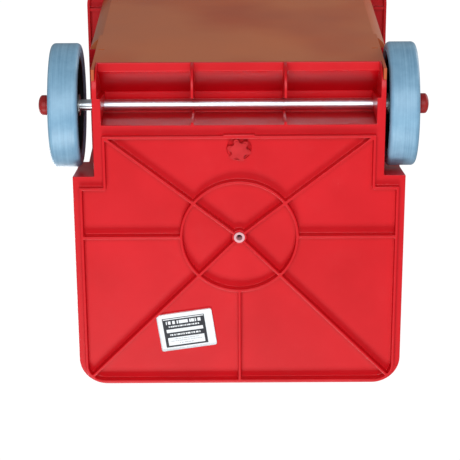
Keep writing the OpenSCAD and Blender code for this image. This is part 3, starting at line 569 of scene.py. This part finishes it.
for node, width in {
    "base_tray": 0.001,
    "pedestal_tub": 0.0014,
    "cabinet_shell": 0.0018,
    "coin_housing": 0.0014,
    "housing_lid": 0.0014,
    "coin_drawer": 0.0008,
    "return_cup": 0.0008,
    "return_flap": 0.0005,
    "left_hub": 0.0009,
    "right_hub": 0.0009,
    "paper_shelf": 0.0005,
    "ballast_plate": 0.003,
    "clamp_plate": 0.0006,
    "door_handle": 0.002,
    "rear_handle": 0.0016,
    "slot_bezel": 0.0007,
    "rate_plate": 0.0004,
    "return_button": 0.0007,
    "coin_mech": 0.0006,
    "latch_hook": 0.0006,
    "door_catch": 0.0006,
    "window_retainer": 0.0005,
    "anchor_bushing": 0.0004,
}.items():
    softened(node, width)
softened("door_frame", 0.0016, whole=True)
softened("star_knob", 0.0012, shape=deeper_valleys)

# %% [markdown]
# ## Wheels, caps and axle
# Everything that is turned about the axle is one profile swept round it. A plane is collapsed to a single
# point, the point is extruded from corner to corner of the profile, and the profile is spun once round the
# axle. The tyre is a thin band of grey rubber with a flat tread, a soft shoulder and a shallow groove on
# each wall.


# %% Spinning a profile round the axle
merge_within = 1e-6
first_plane = 0.001


def spun(name, corners, middle, steps):
    """corners are (distance along X from middle, radius), in order, and close on themselves."""
    points = [Vector((middle.x + x, middle.y, middle.z - r)) for x, r in corners]
    bpy.ops.object.select_all(action="DESELECT")
    bpy.ops.mesh.primitive_plane_add(size=first_plane, location=points[0])
    piece = bpy.context.object
    piece.name = name
    bpy.ops.object.transform_apply(location=True)
    bpy.ops.object.mode_set(mode="EDIT")
    bpy.ops.mesh.select_all(action="SELECT")
    bpy.ops.mesh.merge(type="CENTER")
    for here, there in zip(points, points[1:] + points[:1]):
        bpy.ops.mesh.extrude_region_move(TRANSFORM_OT_translate={"value": there - here})
    bpy.ops.mesh.select_all(action="SELECT")
    bpy.ops.mesh.remove_doubles(threshold=merge_within)
    bpy.ops.mesh.select_all(action="SELECT")
    bpy.ops.mesh.spin(steps=steps, angle=math.tau, center=middle, axis=(1, 0, 0))
    bpy.ops.mesh.select_all(action="SELECT")
    bpy.ops.mesh.remove_doubles(threshold=merge_within)
    bpy.ops.mesh.normals_make_consistent(inside=False)
    bpy.ops.object.mode_set(mode="OBJECT")
    smooth_by_area(piece, 30)
    print(name, len(piece.data.polygons), "faces")
    return piece


def middle_of(node):
    low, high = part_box(node)
    return (low + high) / 2


def arc(x, r, radius, start, end, steps=6):
    """Points on part of a circle, with its angles in degrees from the outward radius."""
    turns = [math.radians(start + (end - start) * i / steps) for i in range(steps + 1)]
    return [(x + radius * math.sin(t), r + radius * math.cos(t)) for t in turns]


# %% Tyres
low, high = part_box("left_tyre")
tyre_half, tyre_r = (high.x - low.x) / 2, (high.z - low.z) / 2
bead_r = tyre_r - 0.017
shoulder_r = 0.006
# Each step down the wall is (distance inwards from the wall's face, height above the bead).
wall_steps = (
    (0, 0.0085),
    (0.0007, 0.0078),
    (0.0007, 0.0062),
    (0, 0.0055),
    (0.0002, 0.004),
    (0.0022, 0.0022),
    (0.0027, 0),
)
half_profile = (
    [(0.0, tyre_r)]
    + arc(tyre_half - shoulder_r, tyre_r - shoulder_r, shoulder_r, 0, 90)
    + [(tyre_half - inwards, bead_r + above) for inwards, above in wall_steps]
)
tyre_profile = half_profile + [(-x, r) for x, r in half_profile[:0:-1]]
for which in ("left", "right"):
    tyre = spun(f"{which}_tyre_ring", tyre_profile, middle_of(f"{which}_tyre"), 128)
    finished(tyre, f"{which}_wheel", "tyre_grey", grey_tyre, f"{which}_tyre")

# %% Axle caps
dome_degrees = (3, 14, 26, 38, 50, 62, 74, 84)
dome_deep, dome_share, dome_gap = 0.0058, 0.995, 0.0001
crown_thick, wall_short = 0.002, 0.0072
core_r, bore_gap = 0.00002, 0.00003
# Each corner of the groove round the rim is (distance from the open end, depth).
rim_groove = ((0.0014, 0), (0.0018, 0.0004), (0.0024, 0.0004), (0.0028, 0))
for which, out in (("left", 1), ("right", -1)):
    low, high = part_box(f"{which}_axle_cap")
    cap_r, cap_long = (high.z - low.z) / 2, high.x - low.x
    bore_r = (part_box("axle")[1].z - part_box("axle")[0].z) / 2 + bore_gap
    start = Vector((low.x if out > 0 else high.x, middle_of("axle").y, middle_of("axle").z))
    dome = [
        (cap_long - dome_gap - dome_deep * (1 - math.cos(t)), cap_r * math.sin(t) * dome_share)
        for t in [math.radians(a) for a in dome_degrees]
    ]
    corners = (
        [(0.0, bore_r), (0.0, cap_r)]
        + [(x, cap_r - deep) for x, deep in rim_groove]
        + [(cap_long - wall_short, cap_r)]
        + dome[::-1]
        + [(cap_long, core_r), (cap_long - crown_thick, core_r), (cap_long - crown_thick, bore_r)]
    )
    cap = spun(f"{which}_cap_dome", [(out * x, r) for x, r in corners], start, 64)
    finished(cap, "axle_set", "cap_red", red_cap, f"{which}_axle_cap")

# %% Axle
low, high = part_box("axle")
axle_half, axle_r = (high.x - low.x) / 2, (high.z - low.z) / 2
chamfer = 0.0015
bar_half = [(0.0, axle_r), (axle_half - chamfer, axle_r), (axle_half, axle_r - chamfer), (axle_half, core_r)]
bar_profile = bar_half + [(-x, r) for x, r in bar_half[:0:-1]]
bar = spun("axle_bar", bar_profile, middle_of("axle"), 64)
finished(bar, "axle_set", "axle_chrome", axle_chrome, "axle")

# %% [markdown]
# ## The printed label
# The label is a thin vinyl sticker with rounded corners and a printed block. The words are left out: plain
# bars stand in their place. The sticker is a cube pressed flat, with its four corners rounded in edit mode,
# and the print is worked out from the distance across and down the label, as shares of its width and
# height.


# %% Print on vinyl
label_low, label_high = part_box("base_label")
label_middle = (label_low + label_high) / 2
label_wide, label_tall, label_turn = 0.080, 0.057, math.radians(-8.3)
label_thick, label_corner_r = 0.0004, 0.003


def label_finish():
    bench = Workbench("label_vinyl")
    shift = -(Matrix.Rotation(-label_turn, 3, "Z") @ label_middle)
    place = bench.stretched((1, 1, 1), (0, 0, -label_turn), shift)
    x, y, _ = bench.axes(place)
    across, down = 0.5 - x / label_wide, 0.5 - y / label_tall

    def box(left, right, top, bottom):
        return across.over(left) * across.under(right) * down.over(top) * down.under(bottom)

    def words(left, right, top, bottom, pitch):
        """A row of bars of uneven width, about pitch of them across the label."""
        values = {"W": across * pitch + top * 37, "Scale": 1.0, "Detail": 1.0}
        strips = bench.node("ShaderNodeTexNoise", {"noise_dimensions": "1D"}, values)
        return box(left, right, top, bottom) * Reading(bench, strips.outputs[0]).over(0.44)

    faint = 0.5
    ink = box(0.09, 0.85, 0.13, 0.93) - box(0.105, 0.835, 0.15, 0.175)
    ink = ink - box(0.14, 0.80, 0.44, 0.53) - box(0.14, 0.80, 0.67, 0.885)
    ink = ink - words(0.15, 0.79, 0.215, 0.305, 26)
    ink = ink - words(0.19, 0.74, 0.35, 0.39, 60) - words(0.19, 0.74, 0.575, 0.62, 48)
    ink = ink + words(0.24, 0.70, 0.705, 0.725, 70) * faint + words(0.18, 0.76, 0.76, 0.78, 80) * faint
    ink = ink + words(0.34, 0.60, 0.825, 0.845, 60) * faint
    grime = bench.cloud(70.0, 5.0).between(0.5, 0.8)
    paper = bench.blend(grime * 0.5, colour(246, 248, 250), colour(214, 212, 204))
    bench.set(base_color=bench.blend(ink, paper, colour(34, 36, 44)), roughness=grime * 0.2 + 0.3)
    bench.relief(bench.cloud(500.0, 2.0), 0.00005, 0.3)
    return bench.material


# %% The sticker
bpy.ops.object.select_all(action="DESELECT")
bpy.ops.mesh.primitive_cube_add(size=1)
sticker = bpy.context.object
sticker.name = "printed_label"
sticker.scale = (label_wide, label_tall, label_thick)
bpy.ops.object.transform_apply(scale=True)
bpy.ops.object.mode_set(mode="EDIT")
bpy.ops.mesh.select_all(action="DESELECT")
bpy.ops.object.mode_set(mode="OBJECT")
for edge in sticker.data.edges:
    one, two = (sticker.data.vertices[v].co for v in edge.vertices)
    edge.select = abs(one.z - two.z) > label_thick / 2
bpy.ops.object.mode_set(mode="EDIT")
bpy.ops.mesh.select_mode(type="EDGE")
bpy.ops.mesh.bevel(offset=label_corner_r, segments=5, affect="EDGES")
bpy.ops.object.mode_set(mode="OBJECT")
sticker.rotation_euler = (0, 0, label_turn)
sticker.location = label_middle
bpy.ops.object.transform_apply(location=True, rotation=True)
smooth_by_area(sticker)
finished(sticker, "base", "label_vinyl", label_finish(), "base_label")
print("label", len(sticker.data.polygons), "faces")
